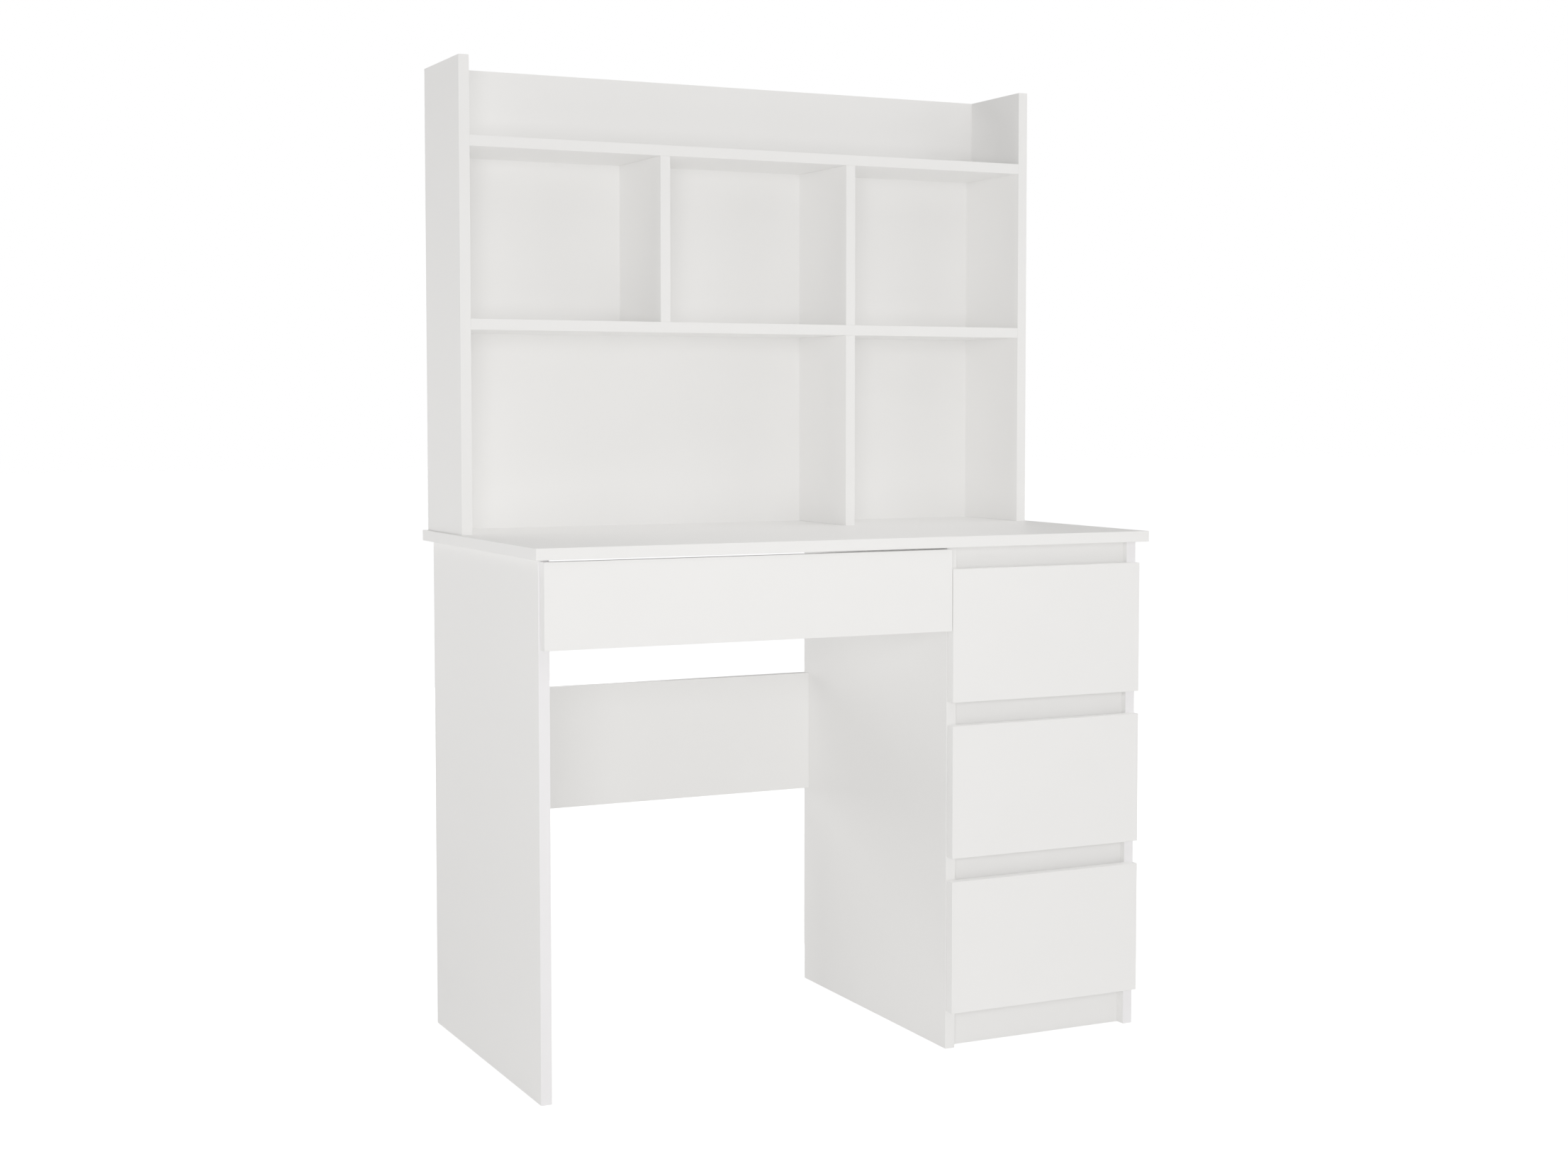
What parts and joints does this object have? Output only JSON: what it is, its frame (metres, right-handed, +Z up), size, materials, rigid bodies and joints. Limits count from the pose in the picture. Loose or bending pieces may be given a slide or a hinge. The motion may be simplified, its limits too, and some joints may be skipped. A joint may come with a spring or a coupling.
{
  "type": "student desk with hutch",
  "caption": "White laminated student desk with a drawer pedestal, a wide drawer over the knee space and an open shelved hutch standing on its top.",
  "frame": {"origin": "on the floor under the middle of the desktop", "axes": "+X to the sitter's right, +Y to the back of the desk, +Z up"},
  "size_m": [0.98, 0.51, 1.455],
  "materials": {
    "white_laminate": "satin white melamine on chipboard",
    "white_fibreboard": "white lacquered thin fibreboard",
    "runner_steel": "white epoxy coated pressed steel",
    "roller_nylon": "moulded nylon"
  },
  "bodies": {
    "carcass": {"desktop": "white_laminate", "left_leg_panel": "white_laminate", "centre_panel": "white_laminate", "right_side_panel": "white_laminate", "modesty_panel": "white_laminate", "plinth": "white_laminate", "pedestal_bottom": "white_laminate", "pedestal_top_rail": "white_laminate", "pedestal_upper_rail": "white_laminate", "pedestal_lower_rail": "white_laminate", "pedestal_back": "white_fibreboard", "hutch_left_side": "white_laminate", "hutch_right_side": "white_laminate", "hutch_middle_shelf": "white_laminate", "hutch_top_shelf": "white_laminate", "hutch_upper_left_divider": "white_laminate", "hutch_upper_right_divider": "white_laminate", "hutch_lower_divider": "white_laminate", "hutch_gallery_board": "white_laminate", "hutch_back": "white_fibreboard", "wide_cabinet_runners": "runner_steel", "upper_cabinet_runners": "runner_steel", "middle_cabinet_runners": "runner_steel", "lower_cabinet_runners": "runner_steel"},
    "wide_drawer": {"wide_drawer_front": "white_laminate", "wide_drawer_left_side": "white_laminate", "wide_drawer_right_side": "white_laminate", "wide_drawer_back": "white_laminate", "wide_drawer_base": "white_fibreboard", "wide_drawer_runners": "runner_steel"},
    "wide_cabinet_rollers": {"wide_cabinet_rollers": "roller_nylon"},
    "wide_drawer_rollers": {"wide_drawer_rollers": "roller_nylon"},
    "upper_drawer": {"upper_drawer_front": "white_laminate", "upper_drawer_left_side": "white_laminate", "upper_drawer_right_side": "white_laminate", "upper_drawer_back": "white_laminate", "upper_drawer_base": "white_fibreboard", "upper_drawer_runners": "runner_steel"},
    "upper_cabinet_rollers": {"upper_cabinet_rollers": "roller_nylon"},
    "upper_drawer_rollers": {"upper_drawer_rollers": "roller_nylon"},
    "middle_drawer": {"middle_drawer_front": "white_laminate", "middle_drawer_left_side": "white_laminate", "middle_drawer_right_side": "white_laminate", "middle_drawer_back": "white_laminate", "middle_drawer_base": "white_fibreboard", "middle_drawer_runners": "runner_steel"},
    "middle_cabinet_rollers": {"middle_cabinet_rollers": "roller_nylon"},
    "middle_drawer_rollers": {"middle_drawer_rollers": "roller_nylon"},
    "lower_drawer": {"lower_drawer_front": "white_laminate", "lower_drawer_left_side": "white_laminate", "lower_drawer_right_side": "white_laminate", "lower_drawer_back": "white_laminate", "lower_drawer_base": "white_fibreboard", "lower_drawer_runners": "runner_steel"},
    "lower_cabinet_rollers": {"lower_cabinet_rollers": "roller_nylon"},
    "lower_drawer_rollers": {"lower_drawer_rollers": "roller_nylon"}
  },
  "joints": [
    {"name": "wide_drawer_slide", "type": "slide", "parent": "carcass", "child": "wide_drawer", "axis": [0, -1, 0], "range_m": [0, 0.3]},
    {"name": "wide_cabinet_rollers_turn", "type": "hinge", "parent": "carcass", "child": "wide_cabinet_rollers", "pos_m": [-0.157, -0.213, 0.642], "axis": [1, 0, 0], "range_deg": [0, 1495]},
    {"name": "wide_drawer_rollers_turn", "type": "hinge", "parent": "wide_drawer", "child": "wide_drawer_rollers", "pos_m": [-0.157, 0.151, 0.637], "axis": [1, 0, 0], "range_deg": [0, 1495]},
    {"name": "upper_drawer_slide", "type": "slide", "parent": "carcass", "child": "upper_drawer", "axis": [0, -1, 0], "range_m": [0, 0.3]},
    {"name": "upper_cabinet_rollers_turn", "type": "hinge", "parent": "carcass", "child": "upper_cabinet_rollers", "pos_m": [0.315, -0.213, 0.553], "axis": [1, 0, 0], "range_deg": [0, 1495]},
    {"name": "upper_drawer_rollers_turn", "type": "hinge", "parent": "upper_drawer", "child": "upper_drawer_rollers", "pos_m": [0.315, 0.151, 0.548], "axis": [1, 0, 0], "range_deg": [0, 1495]},
    {"name": "middle_drawer_slide", "type": "slide", "parent": "carcass", "child": "middle_drawer", "axis": [0, -1, 0], "range_m": [0, 0.3]},
    {"name": "middle_cabinet_rollers_turn", "type": "hinge", "parent": "carcass", "child": "middle_cabinet_rollers", "pos_m": [0.315, -0.213, 0.3235], "axis": [1, 0, 0], "range_deg": [0, 1495]},
    {"name": "middle_drawer_rollers_turn", "type": "hinge", "parent": "middle_drawer", "child": "middle_drawer_rollers", "pos_m": [0.315, 0.151, 0.3185], "axis": [1, 0, 0], "range_deg": [0, 1495]},
    {"name": "lower_drawer_slide", "type": "slide", "parent": "carcass", "child": "lower_drawer", "axis": [0, -1, 0], "range_m": [0, 0.3]},
    {"name": "lower_cabinet_rollers_turn", "type": "hinge", "parent": "carcass", "child": "lower_cabinet_rollers", "pos_m": [0.315, -0.213, 0.094], "axis": [1, 0, 0], "range_deg": [0, 1495]},
    {"name": "lower_drawer_rollers_turn", "type": "hinge", "parent": "lower_drawer", "child": "lower_drawer_rollers", "pos_m": [0.315, 0.151, 0.089], "axis": [1, 0, 0], "range_deg": [0, 1495]}
  ],
  "couplings": [
    {"joint": "wide_cabinet_rollers_turn", "follows": "wide_drawer_slide", "rad_per_m": 86.957},
    {"joint": "wide_drawer_rollers_turn", "follows": "wide_drawer_slide", "rad_per_m": 86.957},
    {"joint": "upper_cabinet_rollers_turn", "follows": "upper_drawer_slide", "rad_per_m": 86.957},
    {"joint": "upper_drawer_rollers_turn", "follows": "upper_drawer_slide", "rad_per_m": 86.957},
    {"joint": "middle_cabinet_rollers_turn", "follows": "middle_drawer_slide", "rad_per_m": 86.957},
    {"joint": "middle_drawer_rollers_turn", "follows": "middle_drawer_slide", "rad_per_m": 86.957},
    {"joint": "lower_cabinet_rollers_turn", "follows": "lower_drawer_slide", "rad_per_m": 86.957},
    {"joint": "lower_drawer_rollers_turn", "follows": "lower_drawer_slide", "rad_per_m": 86.957}
  ]
}
